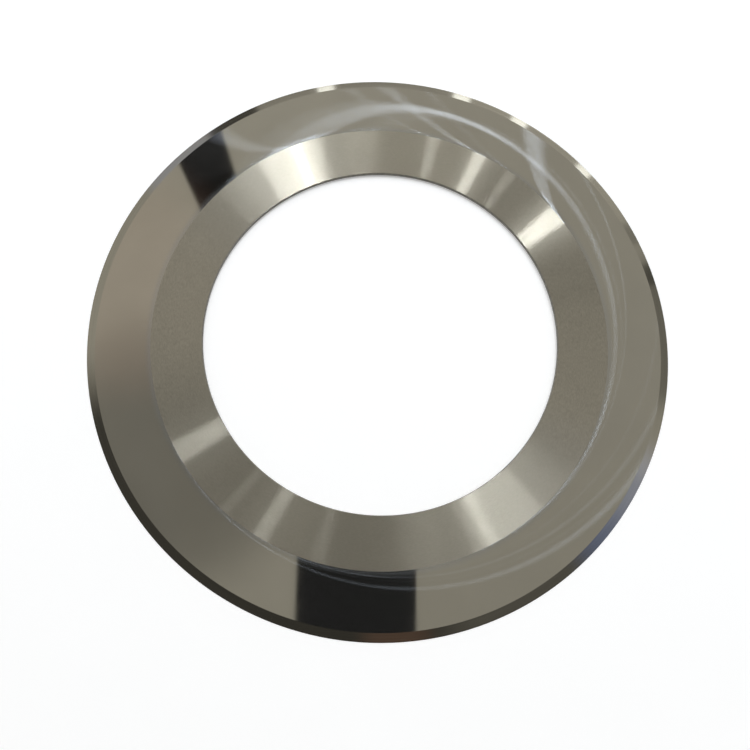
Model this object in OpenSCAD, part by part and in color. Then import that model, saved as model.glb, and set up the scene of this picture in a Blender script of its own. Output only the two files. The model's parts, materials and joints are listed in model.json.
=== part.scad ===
// Circular slitter knife: one thin flat ring with a single bevel ground to a sharp rim.
// The bore lies on the Z axis, the flat back on z = 0, and the bevelled side faces up.

/* [Ring] */
// Diameter over the cutting rim
outer_d = 200; // [190:1:240]
// Diameter of the bore that locates the knife on its holder
bore_d = 122; // [100:0.5:140]
// Thickness at the hub face, where the knife is clamped
thickness = 1.3; // [0.8:0.05:2]
// Chamfer on both edges of the bore
bore_chamfer = 0.2; // [0.1:0.05:0.3]

/* [Polished band] */
// Diameter where the satin hub face ends and the polished band begins
hub_d = 157; // [150:1:170]
// Depth that polishing takes off the band
polish_relief = 0.02; // [0.01:0.01:0.1]

/* [Cutting edge] */
// Angle between the bevel and the flat back
bevel_angle = 22; // [12:0.5:45]
// Height of the honed land left at the very rim
edge_land = 0.05; // [0.02:0.01:0.2]

/* [Hidden] */

// Segments of the round shape in a preview
round_segments = 360;

rim_r = outer_d / 2;
bore_r = bore_d / 2;
hub_r = hub_d / 2;

// Level of the polished band, and the radius where the bevel leaves it
band_z = thickness - polish_relief;
bevel_w = (band_z - edge_land) / tan(bevel_angle);
bevel_root_r = rim_r - bevel_w;

// Half section of the knife, from the bore out along the back and home over the face
module half_section() {
    polygon([
        [bore_r + bore_chamfer, 0],
        [rim_r, 0],
        [rim_r, edge_land],
        [bevel_root_r, band_z],
        [hub_r, band_z],
        [hub_r, thickness],
        [bore_r + bore_chamfer, thickness],
        [bore_r, thickness - bore_chamfer],
        [bore_r, bore_chamfer]
    ]);
}

// The whole knife, turned from its half section about the bore axis
module slitter_knife() {
    color("darkgray")
        rotate_extrude($fn = round_segments)
            half_section();
}

slitter_knife();
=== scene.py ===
"""Circular slitter knife: the looks of one thin ring knife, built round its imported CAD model.

Laid out as an add-on and run as a script. Lengths are metres in the CAD model's frame: the bore lies on Z,
the flat back on z = 0, and the bevelled side faces up.
"""
import json
import math

import bpy
import numpy as np
from bpy.props import FloatProperty, FloatVectorProperty, IntProperty, PointerProperty
from mathutils import Matrix, Vector


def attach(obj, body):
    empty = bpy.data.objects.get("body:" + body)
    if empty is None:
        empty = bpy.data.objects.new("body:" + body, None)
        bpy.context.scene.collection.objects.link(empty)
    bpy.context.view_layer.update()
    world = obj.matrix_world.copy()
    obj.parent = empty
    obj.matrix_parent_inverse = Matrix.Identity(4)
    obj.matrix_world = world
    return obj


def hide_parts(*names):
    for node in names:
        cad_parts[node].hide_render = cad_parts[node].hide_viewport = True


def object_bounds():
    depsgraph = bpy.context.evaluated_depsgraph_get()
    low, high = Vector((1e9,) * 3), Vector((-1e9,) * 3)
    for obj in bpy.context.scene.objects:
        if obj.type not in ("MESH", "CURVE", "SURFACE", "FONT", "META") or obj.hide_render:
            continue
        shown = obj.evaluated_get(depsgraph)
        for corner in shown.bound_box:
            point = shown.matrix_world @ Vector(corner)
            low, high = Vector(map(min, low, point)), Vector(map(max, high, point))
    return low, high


bl_info = {
    "name": "Circular slitter knife",
    "version": (1, 0, 0),
    "blender": (4, 5, 0),
    "location": "3D View > Sidebar > Knife",
    "description": "Builds a ground and polished ring knife and the stage it is shown on",
    "category": "Object",
}

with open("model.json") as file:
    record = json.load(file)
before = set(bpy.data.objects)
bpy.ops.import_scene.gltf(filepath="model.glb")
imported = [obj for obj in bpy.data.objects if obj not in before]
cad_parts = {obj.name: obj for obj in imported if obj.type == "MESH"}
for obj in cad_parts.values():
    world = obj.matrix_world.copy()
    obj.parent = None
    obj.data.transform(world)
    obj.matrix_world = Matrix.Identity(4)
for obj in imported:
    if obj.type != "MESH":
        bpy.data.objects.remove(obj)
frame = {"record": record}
CAD_LOW, CAD_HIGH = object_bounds()
BORE = next(mount for mount in frame["record"]["mounts"] if mount["name"] == "bore")

KNIFE_NODE = "slitter_knife"
MM = 0.001
SENSOR_WIDTH = 36.0
# Range that most of a noise texture's values lie in
NOISE_RANGE = (0.3, 0.7)

# Ceiling lamps: name, place across and along the room, turn in degrees, length, width and brightness
CEILING_LAMPS = (
    ("left_lamp", -0.291, 0.954, 35.5, 0.157, 0.052, 228.0),
    ("side_left_lamp", -0.385, 0.894, 47.0, 0.080, 0.055, 54.0),
    ("far_left_lamp", -0.435, 0.857, 54.5, 0.056, 0.055, 30.0),
    ("inner_left_lamp", -0.134, 1.067, 17.5, 0.090, 0.055, 33.0),
    ("back_left_lamp", -0.606, 1.601, 120.0, 0.100, 0.060, 210.0),
    ("right_lamp", 0.827, 1.411, 46.4, 0.100, 0.112, 255.0),
    ("small_lamp", 0.798, 2.147, 63.5, 0.150, 0.070, 56.0),
    ("middle_lamp", 0.571, 2.358, 72.6, 0.320, 0.100, 121.0),
    ("centre_lamp", 0.153, 2.058, 84.3, 0.150, 0.058, 76.0),
)
# Window panes low behind the knife: name, turn and rise of their direction in degrees
WINDOW_PANES = (
    ("pane_1", 57.8, 12.5),
    ("pane_2", 71.8, 10.6),
    ("pane_3", 82.4, 9.8),
    ("pane_4", 105.7, 10.4),
)
PANE_BRIGHTNESS = 4.5

# The room's light rises along this direction from this level, and fades towards low heights. A height is the
# sine of a direction's rise above the floor.
ROOM_SLOPE = (-0.17, 0.14, 0.0)
ROOM_LEVEL = 0.77
FADE_HEIGHTS = (0.15, 0.6)
FADE_LEVELS = (0.62, 1.0)
# Heights between which the room turns from a pale horizon to its own level
HORIZON = (0.02, 0.16)
# Round patches: turn and rise in degrees, cosines of the outer and inner edge, and brightness
PALE_PATCHES = (
    (-41, 34, (0.92, 0.985), 0.14),
    (90, 30, (0.943, 0.992), 1.8),
    (60, 10, (0.88, 0.97), 0.35),
    (4, 25, (0.985, 0.998), 0.3),
)
COOL_PATCHES = (
    (-12, 29.5, (0.962, 0.995), 0.5),
    (134, 14.5, (0.988, 0.996), 0.3),
)
WARM_PATCHES = (
    (141, 62.5, (0.982, 0.997), 0.11),
    (-75, 37, (0.988, 0.998), 0.13),
)
# A dim patch: turn and rise in degrees, cosines of the outer and inner edge, and levels outside and inside
DIM_PATCH = (165, 74, (0.974, 0.997), (1.0, 0.55))
# Dark shapes: turn in degrees, cosines of the outer and inner edge of the sector of turns, heights of the
# lower edge, heights of the upper edge, and depth. A shape on the ground has its lower edge under it.
GROUND = (-2.0, -1.0)
FAR_SHAPES = (
    (-97, (-0.017, 0.30), (0.30, 0.42), (0.86, 0.985), 0.86),
    (22, (0.88, 0.985), GROUND, (0.40, 0.55), 0.28),
)
NEAR_SHAPES = (
    (120.3, (0.9977, 0.9984), (0.40, 0.50), (0.90, 0.93), 0.98),
    (122.2, (0.9962, 0.9972), GROUND, (0.40, 0.50), 0.77),
    (36.4, (0.9990, 0.9997), GROUND, (0.40, 0.50), 0.6),
    (44.5, (0.9990, 0.9997), GROUND, (0.40, 0.50), 0.35),
)
# The dark board overhead, on a level plane one unit up: turn in degrees, centre, half sides and softness
BOARD = (7.5, (0.009, -0.015), (0.0835, 0.235), 0.002)
BOARD_DEPTH = 0.98


class KnifeSizes(bpy.types.PropertyGroup):
    """Sizes of the knife. The outer ones come from the CAD model."""

    rim_radius: FloatProperty(
        name="Rim radius",
        description="Radius of the cutting rim",
        default=CAD_HIGH.x,
        unit="LENGTH",
    )
    bore_radius: FloatProperty(
        name="Bore radius",
        description="Radius of the bore's wall",
        default=BORE["dims"]["r_mm"] * MM,
        unit="LENGTH",
    )
    thickness: FloatProperty(
        name="Thickness",
        description="Height of the hub face above the flat back",
        default=CAD_HIGH.z,
        unit="LENGTH",
    )
    hub_radius: FloatProperty(
        name="Hub radius",
        description="Radius where the satin hub face ends and the polished band begins",
        default=78.5 * MM,
        unit="LENGTH",
    )
    bore_chamfer: FloatProperty(
        name="Bore chamfer",
        description="Chamfer on both edges of the bore",
        default=0.2 * MM,
        unit="LENGTH",
    )
    polish_relief: FloatProperty(
        name="Polish relief",
        description="Depth that polishing takes off the band",
        default=0.02 * MM,
        unit="LENGTH",
    )
    bevel_angle: FloatProperty(
        name="Bevel angle",
        description="Angle between the bevel and the flat back",
        default=math.radians(22),
        subtype="ANGLE",
    )
    edge_land: FloatProperty(
        name="Edge land",
        description="Height of the honed land at the rim",
        default=0.05 * MM,
        unit="LENGTH",
    )
    wheel_radius: FloatProperty(
        name="Wheel radius",
        description="Radius of the cup wheel that ground the polished band",
        default=50 * MM,
        unit="LENGTH",
    )
    wheel_gap: FloatProperty(
        name="Wheel gap",
        description="Distance that the wheel keeps from the hub's edge",
        default=0.25 * MM,
        unit="LENGTH",
    )
    ring_width: FloatProperty(
        name="Ring width",
        description="Widest ring of faces along the section",
        default=4 * MM,
        unit="LENGTH",
    )
    segments: IntProperty(
        name="Segments",
        description="Faces round the knife",
        default=720,
        min=90,
    )


class KnifeFinish(bpy.types.PropertyGroup):
    """Colours and finish of the carbide."""

    carbide_colour: FloatVectorProperty(
        name="Carbide",
        description="Colour of the ground and polished carbide",
        subtype="COLOR",
        default=(0.285, 0.267, 0.218),
    )
    satin_colour: FloatVectorProperty(
        name="Satin carbide",
        description="Colour of the satin hub face and back",
        subtype="COLOR",
        default=(0.265, 0.247, 0.202),
    )
    trace_colour: FloatVectorProperty(
        name="Traces",
        description="Colour of the light from the last traces of grinding",
        subtype="COLOR",
        default=(0.235, 0.250, 0.265),
    )
    bore_colour: FloatVectorProperty(
        name="Bore",
        description="Colour of the dull bore wall",
        subtype="COLOR",
        default=(0.23, 0.222, 0.198),
    )
    satin_roughness: FloatProperty(
        name="Satin roughness",
        description="Roughness of the concentric grind on the hub face",
        subtype="FACTOR",
        default=0.155,
    )
    glow_share: FloatProperty(
        name="Glow share",
        description="Share of the satin face's light that glows beside its streaks",
        subtype="FACTOR",
        default=0.5,
    )
    polish_roughness: FloatProperty(
        name="Polish roughness",
        description="Roughness of the mirror-polished band",
        subtype="FACTOR",
        default=0.035,
    )
    bevel_roughness: FloatProperty(
        name="Bevel roughness",
        description="Roughness of the ground bevel",
        subtype="FACTOR",
        default=0.11,
    )
    trace_share: FloatProperty(
        name="Trace share",
        description="Share of the polished band's light that the last traces of grinding turn aside",
        subtype="FACTOR",
        default=0.085,
    )


class KnifeStage(bpy.types.PropertyGroup):
    """The floor, the light and the camera."""

    floor_colour: FloatVectorProperty(
        name="Floor",
        description="Colour of the pale floor",
        subtype="COLOR",
        default=(0.91, 0.91, 0.91),
    )
    floor_lift: FloatProperty(
        name="Floor lift",
        description="Brightness added to the floor where it is seen",
        default=0.23,
    )
    room_colour: FloatVectorProperty(
        name="Room light",
        description="Colour of the light from the room",
        subtype="COLOR",
        default=(1.0, 0.985, 0.94),
    )
    window_colour: FloatVectorProperty(
        name="Window",
        description="Colour of the cool windows on the right and behind on the left",
        subtype="COLOR",
        default=(0.27, 0.42, 1.0),
    )
    glow_colour: FloatVectorProperty(
        name="Warm glow",
        description="Colour of the warm light on the left and in front",
        subtype="COLOR",
        default=(1.0, 0.48, 0.3),
    )
    lamp_colour: FloatVectorProperty(
        name="Lamps",
        description="Colour of the lamps",
        subtype="COLOR",
        default=(0.88, 0.93, 1.0),
    )
    ceiling_height: FloatProperty(
        name="Ceiling height",
        description="Height of the ceiling lamps above the floor",
        default=1.8,
        unit="LENGTH",
    )
    pane_distance: FloatProperty(
        name="Pane distance",
        description="Distance of the window panes from the knife",
        default=1.5,
        unit="LENGTH",
    )
    pane_side: FloatProperty(
        name="Pane side",
        description="Side of each square window pane",
        default=0.075,
        unit="LENGTH",
    )
    lens: FloatProperty(
        name="Lens",
        description="Focal length in millimetres on a sensor 36 mm wide",
        default=33.0,
    )
    camera_place: FloatVectorProperty(
        name="Camera",
        description="Place of the camera",
        subtype="XYZ",
        unit="LENGTH",
        default=(-0.0002, -0.0686, 0.2279),
    )
    camera_tilt: FloatProperty(
        name="Camera tilt",
        description="Angle between the view and straight down",
        subtype="ANGLE",
        default=math.radians(13.42),
    )
    camera_roll: FloatProperty(
        name="Camera roll",
        description="Turn of the camera about its view",
        subtype="ANGLE",
        default=math.radians(8.47),
    )


def half_section(sizes):
    """Corners (radius, height) of the half section, each with the finish of the stretch that follows it.

    The order is from the bore out along the back, up the rim and home over the bevel, the band and the hub.
    """
    band_height = sizes.thickness - sizes.polish_relief
    bevel_width = (band_height - sizes.edge_land) / math.tan(sizes.bevel_angle)
    mouth_radius = sizes.bore_radius + sizes.bore_chamfer
    return (
        (mouth_radius, 0.0, "ground_back"),
        (sizes.rim_radius, 0.0, "bevel"),
        (sizes.rim_radius, sizes.edge_land, "bevel"),
        (sizes.rim_radius - bevel_width, band_height, "polished_band"),
        (sizes.hub_radius, band_height, "satin_hub"),
        (sizes.hub_radius, sizes.thickness, "satin_hub"),
        (mouth_radius, sizes.thickness, "bore_wall"),
        (sizes.bore_radius, sizes.thickness - sizes.bore_chamfer, "bore_wall"),
        (sizes.bore_radius, sizes.bore_chamfer, "bore_wall"),
    )


def divided_profile(corners, ring_width):
    """The closed profile with each straight stretch cut into equal steps no longer than ring_width.

    Returns the points as an array of (radius, height) and the finish of the step after each point.
    """
    places = np.array([corner[:2] for corner in corners])
    spans = np.roll(places, -1, axis=0) - places
    steps = np.maximum(1, np.ceil(np.hypot(*spans.T) / ring_width)).astype(int)
    corner_of_step = np.repeat(np.arange(len(corners)), steps)
    step_in_stretch = np.arange(steps.sum()) - np.repeat(np.cumsum(steps) - steps, steps)
    share = step_in_stretch / steps[corner_of_step]
    points = places[corner_of_step] + share[:, None] * spans[corner_of_step]
    return points, [corners[i][2] for i in corner_of_step]


def turned_mesh(name, profile, step_finishes, materials, segments):
    """A closed profile carried once round the Z axis.

    The profile's point (r, z) at turn a lies at (r cos a, r sin a, z). Each cell of the grid of turns and
    profile steps is one quad, and the grid closes on itself both ways.
    """
    turns = np.linspace(0, 2 * math.pi, segments, endpoint=False)
    radius, height = profile.T
    points = np.stack(
        (
            np.multiply.outer(np.cos(turns), radius),
            np.multiply.outer(np.sin(turns), radius),
            np.broadcast_to(height, (segments, len(height))),
        ),
        axis=-1,
    )
    here = np.arange(segments * len(radius)).reshape(segments, len(radius))
    next_turn = np.roll(here, -1, axis=0)
    quads = np.stack(
        (here, next_turn, np.roll(next_turn, -1, axis=1), np.roll(here, -1, axis=1)),
        axis=-1,
    )
    mesh = bpy.data.meshes.new(name)
    mesh.from_pydata(points.reshape(-1, 3).tolist(), [], quads.reshape(-1, 4).tolist())
    finishes = list(dict.fromkeys(step_finishes))
    for finish in finishes:
        mesh.materials.append(materials[finish])
    step_slots = [finishes.index(finish) for finish in step_finishes]
    mesh.polygons.foreach_set("material_index", np.tile(step_slots, segments))
    mesh.shade_smooth()
    sharp_angle = math.radians(10)
    mesh.set_sharp_from_angle(angle=sharp_angle)
    return mesh


def node(tree, kind, inputs=None, **settings):
    """One shader node. inputs gives each socket, by name or number, a value or the output that feeds it."""
    made = tree.nodes.new("ShaderNode" + kind)
    for name, value in settings.items():
        setattr(made, name, value)
    for key, value in (inputs or {}).items():
        if isinstance(value, bpy.types.NodeSocket):
            tree.links.new(value, made.inputs[key])
        else:
            made.inputs[key].default_value = value
    return made


def vector_maths(tree, operation, *values):
    """The vector output of a vector maths node."""
    return node(tree, "VectorMath", dict(enumerate(values)), operation=operation).outputs[0]


def maths(tree, operation, *values):
    """The output of a maths node."""
    return node(tree, "Math", dict(enumerate(values)), operation=operation).outputs[0]


def scaled(tree, vector, factor):
    """A vector times a number."""
    made = node(tree, "VectorMath", {0: vector, "Scale": factor}, operation="SCALE")
    return made.outputs[0]


def mapped(tree, value, from_range, to_range):
    """A number taken from one range to another along a smooth step."""
    inputs = {
        "Value": value,
        "From Min": from_range[0],
        "From Max": from_range[1],
        "To Min": to_range[0],
        "To Max": to_range[1],
    }
    return node(tree, "MapRange", inputs, interpolation_type="SMOOTHSTEP").outputs[0]


def varied(tree, noise, value, share):
    """A value made smaller and larger by noise, by the given share each way."""
    return mapped(tree, noise, NOISE_RANGE, (value * (1 - share), value * (1 + share)))


class FacePlace:
    """Where a point of the knife lies: its place, its radius, and the ways outward and round the axis."""

    def __init__(self, tree):
        self.tree = tree
        self.place = node(tree, "TexCoord").outputs["Object"]
        flat = vector_maths(tree, "MULTIPLY", self.place, (1, 1, 0))
        self.radius = node(tree, "VectorMath", {0: flat}, operation="LENGTH").outputs["Value"]
        self.outward = vector_maths(tree, "NORMALIZE", flat)
        self.around = vector_maths(tree, "CROSS_PRODUCT", (0, 0, 1), self.outward)

    def ring_noise(self, step, breaks):
        """Noise in rings round the axis, one step apart, broken the given number of times in each radian."""
        tree = self.tree
        rings = maths(tree, "DIVIDE", self.radius, step)
        rise = node(tree, "CombineXYZ", {"Z": rings}).outputs[0]
        vector = vector_maths(tree, "ADD", scaled(tree, self.outward, breaks), rise)
        inputs = {"Vector": vector, "Scale": 1.0, "Detail": 3.0, "Roughness": 0.6}
        return node(tree, "TexNoise", inputs).outputs[0]

    def cloud_noise(self, scale):
        """Soft noise without a direction."""
        inputs = {"Vector": self.place, "Scale": scale, "Detail": 3.0}
        return node(self.tree, "TexNoise", inputs).outputs[0]

    def wheel_marks(self, touch_radius, wheel_radius):
        """The direction of the arcs that a cup wheel leaves, and of the wheel's centre for each.

        The centre of a wheel of radius w is kept d = t + w from the axis, so its rim comes no nearer than t.
        At radius r the wheel's arc crosses the circle round the axis at the angle b, and the wheel's centre
        lies the angle g back round the axis:
        cos b = (t t + 2 t w - r r) / 2 r w and cos g = (r r + d d - w w) / 2 r d.
        """
        tree = self.tree
        centre_radius = touch_radius + wheel_radius
        squared = maths(tree, "MULTIPLY", self.radius, self.radius)
        crossing = maths(
            tree,
            "DIVIDE",
            maths(tree, "SUBTRACT", touch_radius**2 + 2 * touch_radius * wheel_radius, squared),
            maths(tree, "MULTIPLY", self.radius, 2 * wheel_radius),
        )
        back = maths(
            tree,
            "DIVIDE",
            maths(tree, "ADD", squared, centre_radius**2 - wheel_radius**2),
            maths(tree, "MULTIPLY", self.radius, 2 * centre_radius),
        )
        along = self.turned(self.around, self.outward, crossing, "ADD")
        centre = self.turned(self.outward, self.around, back, "SUBTRACT")
        return along, centre

    def turned(self, start, side, cosine, operation):
        """The start direction turned towards the side (ADD) or away from it (SUBTRACT)."""
        tree = self.tree
        cosine = maths(tree, "MINIMUM", cosine, 1.0)
        squared = maths(tree, "MULTIPLY", cosine, cosine)
        sine = maths(tree, "SQRT", maths(tree, "SUBTRACT", 1.0, squared))
        return vector_maths(tree, operation, scaled(tree, start, cosine), scaled(tree, side, sine))


def new_material(name):
    """An empty node material and its output node."""
    material = bpy.data.materials.new(name)
    material.use_nodes = True
    material.node_tree.nodes.clear()
    return material, node(material.node_tree, "OutputMaterial")


def shaded_colour(tree, colour, noise, spread):
    """A colour made lighter and darker by noise, by the given share each way."""
    factor = mapped(tree, noise, (0.25, 0.75), (1 - spread, 1 + spread))
    return scaled(tree, tuple(colour), factor)


def line_bump(tree, height, strength, depth):
    """A normal bent by fine lines of the given depth."""
    inputs = {"Height": height, "Strength": strength, "Distance": depth}
    return node(tree, "Bump", inputs).outputs[0]


def grind_lobe(tree, colour, roughness, anisotropy, along, normal=None):
    """Light thrown across grinding lines that run along the given direction."""
    inputs = {"Color": colour, "Roughness": roughness, "Anisotropy": anisotropy, "Tangent": along}
    if normal:
        inputs["Normal"] = normal
    return node(tree, "BsdfAnisotropic", inputs).outputs[0]


def satin_material(name, finish):
    """Concentric grind: rings too fine to see that spread light across themselves and hardly along them.

    A share of the light makes a soft glow beside the sharp streak. Short grains, longer round the axis than
    across it, make both sparkle.
    """
    material, output = new_material(name)
    tree = material.node_tree
    face = FacePlace(tree)
    grain_width = 0.3 * MM
    grain_depth = 0.01 * MM
    streak_anisotropy = 0.935
    glow_roughness = 0.315
    glow_anisotropy = 0.7
    grains = face.ring_noise(grain_width, breaks=70.0)
    normal = line_bump(tree, grains, 0.5, grain_depth)
    roughness = varied(tree, face.cloud_noise(60.0), finish.satin_roughness, 0.07)
    streak_colour = shaded_colour(tree, finish.satin_colour, grains, 0.27)
    sharp = grind_lobe(tree, streak_colour, roughness, streak_anisotropy, face.around, normal)
    glow_colour = shaded_colour(tree, finish.satin_colour, grains, 0.05)
    soft = grind_lobe(tree, glow_colour, glow_roughness, glow_anisotropy, face.around, normal)
    mix = node(tree, "MixShader", {0: finish.glow_share, 1: sharp, 2: soft})
    tree.links.new(mix.outputs[0], output.inputs["Surface"])
    return material


def polished_material(name, sizes, finish):
    """Mirror polish over the last traces of the arcs that a cup wheel ground up to the hub's edge.

    The traces crowd together by the hub's edge, where the wheel's rim turns back.
    """
    material, output = new_material(name)
    tree = material.node_tree
    face = FacePlace(tree)
    touch_radius = sizes.hub_radius + sizes.wheel_gap
    along, centre = face.wheel_marks(touch_radius, sizes.wheel_radius)
    traces = {"Vector": centre, "Scale": 250.0, "Detail": 4.0}
    trace_noise = node(tree, "TexNoise", traces).outputs[0]
    clouds = face.cloud_noise(45.0)
    colour = shaded_colour(tree, finish.carbide_colour, clouds, 0.03)
    mirror = node(
        tree,
        "BsdfPrincipled",
        {
            "Base Color": colour,
            "Metallic": 1.0,
            "Roughness": varied(tree, clouds, finish.polish_roughness, 0.3),
        },
    )
    trace_colour = tuple(finish.trace_colour) + (1.0,)
    trace_roughness = 0.15
    trace_anisotropy = 0.93
    grinding = grind_lobe(tree, trace_colour, trace_roughness, trace_anisotropy, along)
    crowd_width = 2.0 * MM
    crowd_factor = 4.0
    crowd_range = (touch_radius, touch_radius + crowd_width)
    crowding = mapped(tree, face.radius, crowd_range, (crowd_factor, 1.0))
    usual_share = varied(tree, trace_noise, finish.trace_share, 0.2)
    share = maths(tree, "MULTIPLY", usual_share, crowding)
    mix = node(tree, "MixShader", {0: share, 1: mirror.outputs[0], 2: grinding})
    tree.links.new(mix.outputs[0], output.inputs["Surface"])
    return material


def bevel_material(name, finish):
    """Finely ground bevel: rings that blur a reflection a little along the slope."""
    material, output = new_material(name)
    tree = material.node_tree
    face = FacePlace(tree)
    ring_step = 0.15 * MM
    rings = face.ring_noise(ring_step, breaks=4.0)
    metal = node(
        tree,
        "BsdfPrincipled",
        {
            "Base Color": shaded_colour(tree, finish.carbide_colour, rings, 0.08),
            "Metallic": 1.0,
            "Roughness": varied(tree, rings, finish.bevel_roughness, 0.2),
            "Anisotropic": 0.6,
            "Tangent": face.outward,
        },
    )
    tree.links.new(metal.outputs[0], output.inputs["Surface"])
    return material


def bore_material(name, finish):
    """Dull bore wall with faint marks along the axis."""
    material, output = new_material(name)
    tree = material.node_tree
    place = node(tree, "TexCoord").outputs["Object"]
    marks_per_metre = (900, 900, 60)
    stretched = vector_maths(tree, "MULTIPLY", place, marks_per_metre)
    marks = node(tree, "TexNoise", {"Vector": stretched, "Scale": 1.0, "Detail": 3.0}).outputs[0]
    metal = node(
        tree,
        "BsdfPrincipled",
        {
            "Base Color": shaded_colour(tree, finish.bore_colour, marks, 0.2),
            "Metallic": 1.0,
            "Roughness": mapped(tree, marks, NOISE_RANGE, (0.35, 0.5)),
        },
    )
    tree.links.new(metal.outputs[0], output.inputs["Surface"])
    return material


def floor_material(name, stage):
    """Plain pale floor with the faintest mottling, lifted a little towards white where it is seen."""
    material, output = new_material(name)
    tree = material.node_tree
    place = node(tree, "TexCoord").outputs["Object"]
    mottle = node(tree, "TexNoise", {"Vector": place, "Scale": 30.0}).outputs[0]
    paint = node(
        tree,
        "BsdfPrincipled",
        {
            "Base Color": shaded_colour(tree, stage.floor_colour, mottle, 0.004),
            "Roughness": 0.7,
            "Specular IOR Level": 0.2,
        },
    )
    path = node(tree, "LightPath").outputs
    mirrored = maths(tree, "MAXIMUM", path["Is Glossy Ray"], path["Is Transmission Ray"])
    seen = maths(tree, "MAXIMUM", path["Is Camera Ray"], mirrored)
    lift = node(tree, "Emission", {"Strength": maths(tree, "MULTIPLY", seen, stage.floor_lift)})
    both = node(tree, "AddShader", {0: paint.outputs[0], 1: lift.outputs[0]})
    tree.links.new(both.outputs[0], output.inputs["Surface"])
    return material


def unit_direction(turn, rise):
    """The unit vector towards a turn round Z and a rise above the floor, both in degrees."""
    turn, rise = math.radians(turn), math.radians(rise)
    return math.cos(rise) * math.cos(turn), math.cos(rise) * math.sin(turn), math.sin(rise)


class Room:
    """Light from the room, painted over all directions.

    It is brighter behind and to the left, and pale along the horizon. A dark wall in front, a tall dark post
    and short stands behind, and a dark board overhead give the polish and the bevel their contrast. Pale,
    cool and warm patches light the bevel and the left of the band.
    """

    def __init__(self, tree):
        self.tree = tree
        self.towards = node(tree, "TexCoord").outputs["Generated"]
        flat = vector_maths(tree, "MULTIPLY", self.towards, (1, 1, 0))
        self.level_ground = vector_maths(tree, "NORMALIZE", flat)
        self.height = node(tree, "SeparateXYZ", {0: self.towards}).outputs["Z"]

    def dot(self, vector, direction):
        """The share of a vector along a direction."""
        made = node(self.tree, "VectorMath", {0: vector, 1: direction}, operation="DOT_PRODUCT")
        return made.outputs["Value"]

    def product(self, first, second):
        """Two numbers multiplied."""
        return maths(self.tree, "MULTIPLY", first, second)

    def spot(self, turn, rise, edge_cosines, levels):
        """A round patch: the first level outside, the second inside, its edge between the two cosines."""
        cosine = self.dot(self.towards, unit_direction(turn, rise))
        return mapped(self.tree, cosine, edge_cosines, levels)

    def patches(self, patches):
        """The sum of round patches, each given by turn, rise, edge cosines and brightness."""
        total = 0.0
        for turn, rise, edge_cosines, brightness in patches:
            patch = self.spot(turn, rise, edge_cosines, (0.0, brightness))
            total = maths(self.tree, "ADD", total, patch)
        return total

    def upright(self, turn, edge_cosines, lower_edge, upper_edge):
        """1 within a sector of turns between two heights, 0 outside it."""
        cosine = self.dot(self.level_ground, unit_direction(turn, 0))
        sector = mapped(self.tree, cosine, edge_cosines, (0.0, 1.0))
        above = mapped(self.tree, self.height, lower_edge, (0.0, 1.0))
        below = mapped(self.tree, self.height, upper_edge, (1.0, 0.0))
        return self.product(sector, self.product(above, below))

    def board(self, turn, centre, half_sides, softness):
        """1 within a level board overhead, 0 outside it.

        A direction meets the plane one unit up at x / z and y / z, then turned into the board's frame.
        """
        tree = self.tree
        overhead = scaled(tree, self.towards, maths(tree, "DIVIDE", 1.0, self.height))
        inside = 1.0
        for quarter, middle, half_side in zip((0, 90), centre, half_sides):
            along = self.dot(overhead, unit_direction(turn + quarter, 0))
            offset = maths(tree, "ABSOLUTE", maths(tree, "SUBTRACT", along, middle))
            edge = (half_side - softness, half_side + softness)
            inside = self.product(inside, mapped(tree, offset, edge, (1.0, 0.0)))
        return inside

    def darkened(self, level, mask, depth):
        """A level with a share of it taken away where the mask is 1."""
        return self.product(level, maths(self.tree, "SUBTRACT", 1.0, self.product(mask, depth)))


def room_level(room):
    """The level of the room's light in each direction, without its coloured patches."""
    tree = room.tree
    level = maths(tree, "ADD", room.dot(room.towards, ROOM_SLOPE), ROOM_LEVEL)
    level = room.product(level, mapped(tree, room.height, FADE_HEIGHTS, FADE_LEVELS))
    level = room.product(level, room.spot(*DIM_PATCH))
    for *shape, depth in FAR_SHAPES:
        level = room.darkened(level, room.upright(*shape), depth)
    level = maths(tree, "ADD", level, room.patches(PALE_PATCHES))
    for *shape, depth in NEAR_SHAPES:
        level = room.darkened(level, room.upright(*shape), depth)
    level = room.darkened(level, room.board(*BOARD), BOARD_DEPTH)
    return maths(tree, "MAXIMUM", level, mapped(tree, room.height, HORIZON, (1.0, 0.0)))


def room_light(world, stage):
    """The room's light as the world's background."""
    world.use_nodes = True
    tree = world.node_tree
    tree.nodes.clear()
    room = Room(tree)
    colour = scaled(tree, tuple(stage.room_colour), room_level(room))
    for patch_colour, patches in ((stage.window_colour, COOL_PATCHES), (stage.glow_colour, WARM_PATCHES)):
        patch_light = scaled(tree, tuple(patch_colour), room.patches(patches))
        colour = vector_maths(tree, "ADD", colour, patch_light)
    light = node(tree, "Background", {"Color": colour, "Strength": 1.0})
    output = node(tree, "OutputWorld")
    tree.links.new(light.outputs[0], output.inputs["Surface"])


def flat_lamp(name, pose, length, width, brightness, colour):
    """A flat lamp that shines along its own -Z, out of the camera's sight."""
    lamp = bpy.data.lights.new(name, "AREA")
    lamp.shape = "RECTANGLE"
    lamp.size = length
    lamp.size_y = width
    lamp.energy = brightness * math.pi * length * width
    lamp.color = colour
    holder = bpy.data.objects.new(name, lamp)
    holder.matrix_world = pose
    holder.visible_camera = False
    bpy.context.scene.collection.objects.link(holder)


def ceiling_lamps(stage):
    """Tubes under the ceiling that shine straight down."""
    for name, across, along, turn, length, width, brightness in CEILING_LAMPS:
        place = Matrix.Translation((across, along, stage.ceiling_height))
        pose = place @ Matrix.Rotation(math.radians(turn), 4, "Z")
        flat_lamp(name, pose, length, width, brightness, stage.lamp_colour)


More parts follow.
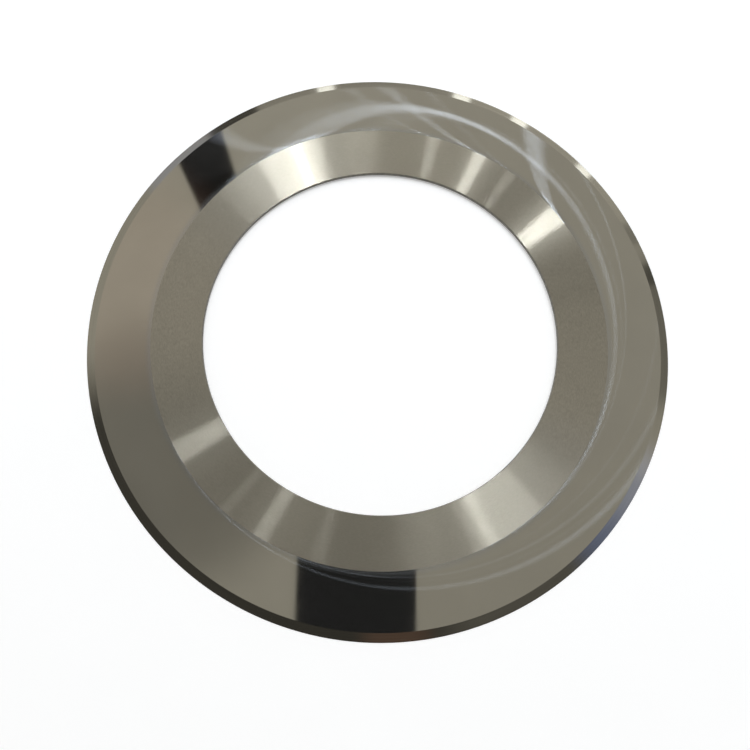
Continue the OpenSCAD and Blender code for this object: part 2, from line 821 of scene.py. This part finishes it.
def window_panes(stage):
    """Small bright panes low behind the knife that face its centre."""
    for name, turn, rise in WINDOW_PANES:
        direction = Vector(unit_direction(turn, rise))
        turned = direction.to_track_quat("Z", "Y").to_matrix().to_4x4()
        pose = Matrix.Translation(direction * stage.pane_distance) @ turned
        flat_lamp(name, pose, stage.pane_side, stage.pane_side, PANE_BRIGHTNESS, stage.lamp_colour)


class KNIFE_OT_make_ring(bpy.types.Operator):
    """Turn the knife from its half section and give each face its finish"""

    bl_idname = "knife.make_ring"
    bl_label = "Make the ring"

    def execute(self, context):
        sizes = context.scene.knife_sizes
        finish = context.scene.knife_finish
        materials = {
            "satin_hub": satin_material("satin_hub", finish),
            "polished_band": polished_material("polished_band", sizes, finish),
            "bevel": bevel_material("bevel", finish),
            "bore_wall": bore_material("bore_wall", finish),
            "ground_back": satin_material("ground_back", finish),
        }
        profile, step_finishes = divided_profile(half_section(sizes), sizes.ring_width)
        mesh = turned_mesh("ring", profile, step_finishes, materials, sizes.segments)
        ring = bpy.data.objects.new("ring", mesh)
        context.scene.collection.objects.link(ring)
        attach(ring, "root")
        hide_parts(KNIFE_NODE)
        return {"FINISHED"}


class KNIFE_OT_make_stage(bpy.types.Operator):
    """Lay the floor, light the room and set up the camera"""

    bl_idname = "knife.make_stage"
    bl_label = "Make the stage"

    def execute(self, context):
        scene = context.scene
        stage = scene.knife_stage
        self.lay_floor(scene, stage)
        scene.world = bpy.data.worlds.new("room")
        room_light(scene.world, stage)
        ceiling_lamps(stage)
        window_panes(stage)
        self.set_up_camera(scene, stage)
        scene.view_settings.view_transform = "Standard"
        return {"FINISHED"}

    def lay_floor(self, scene, stage):
        """A large square just under the knife's back."""
        half_side = 6.0
        drop = 0.02 * MM
        corners = half_side * np.array(((-1, -1), (1, -1), (1, 1), (-1, 1)))
        points = np.column_stack((corners, np.full(len(corners), -drop)))
        mesh = bpy.data.meshes.new("floor")
        mesh.from_pydata(points.tolist(), [], [range(len(points))])
        mesh.materials.append(floor_material("floor", stage))
        floor = bpy.data.objects.new("floor", mesh)
        scene.collection.objects.link(floor)

    def set_up_camera(self, scene, stage):
        """A camera that looks down, tilted and rolled a little."""
        camera = bpy.data.cameras.new("camera")
        camera.sensor_width = SENSOR_WIDTH
        camera.lens = stage.lens
        camera.clip_start = 0.01
        holder = bpy.data.objects.new("camera", camera)
        holder.matrix_world = (
            Matrix.Translation(stage.camera_place)
            @ Matrix.Rotation(stage.camera_tilt, 4, "X")
            @ Matrix.Rotation(stage.camera_roll, 4, "Z")
        )
        scene.collection.objects.link(holder)
        scene.camera = holder


class KNIFE_PT_panel(bpy.types.Panel):
    """Sizes, finish and stage of the knife"""

    bl_idname = "KNIFE_PT_panel"
    bl_label = "Slitter knife"
    bl_space_type = "VIEW_3D"
    bl_region_type = "UI"
    bl_category = "Knife"

    def draw(self, context):
        layout = self.layout
        scene = context.scene
        for group in (scene.knife_sizes, scene.knife_finish, scene.knife_stage):
            column = layout.column()
            for name in group.__annotations__:
                column.prop(group, name)
        layout.operator(KNIFE_OT_make_ring.bl_idname)
        layout.operator(KNIFE_OT_make_stage.bl_idname)


CLASSES = (
    KnifeSizes,
    KnifeFinish,
    KnifeStage,
    KNIFE_OT_make_ring,
    KNIFE_OT_make_stage,
    KNIFE_PT_panel,
)


def register():
    """Register the classes and hang the settings on the scene."""
    for cls in CLASSES:
        bpy.utils.register_class(cls)
    bpy.types.Scene.knife_sizes = PointerProperty(type=KnifeSizes)
    bpy.types.Scene.knife_finish = PointerProperty(type=KnifeFinish)
    bpy.types.Scene.knife_stage = PointerProperty(type=KnifeStage)


def unregister():
    """Take the settings off the scene and unregister the classes."""
    del bpy.types.Scene.knife_stage
    del bpy.types.Scene.knife_finish
    del bpy.types.Scene.knife_sizes
    for cls in reversed(CLASSES):
        bpy.utils.unregister_class(cls)


def main():
    register()
    bpy.ops.knife.make_ring()
    bpy.ops.knife.make_stage()


if __name__ == "__main__":
    main()
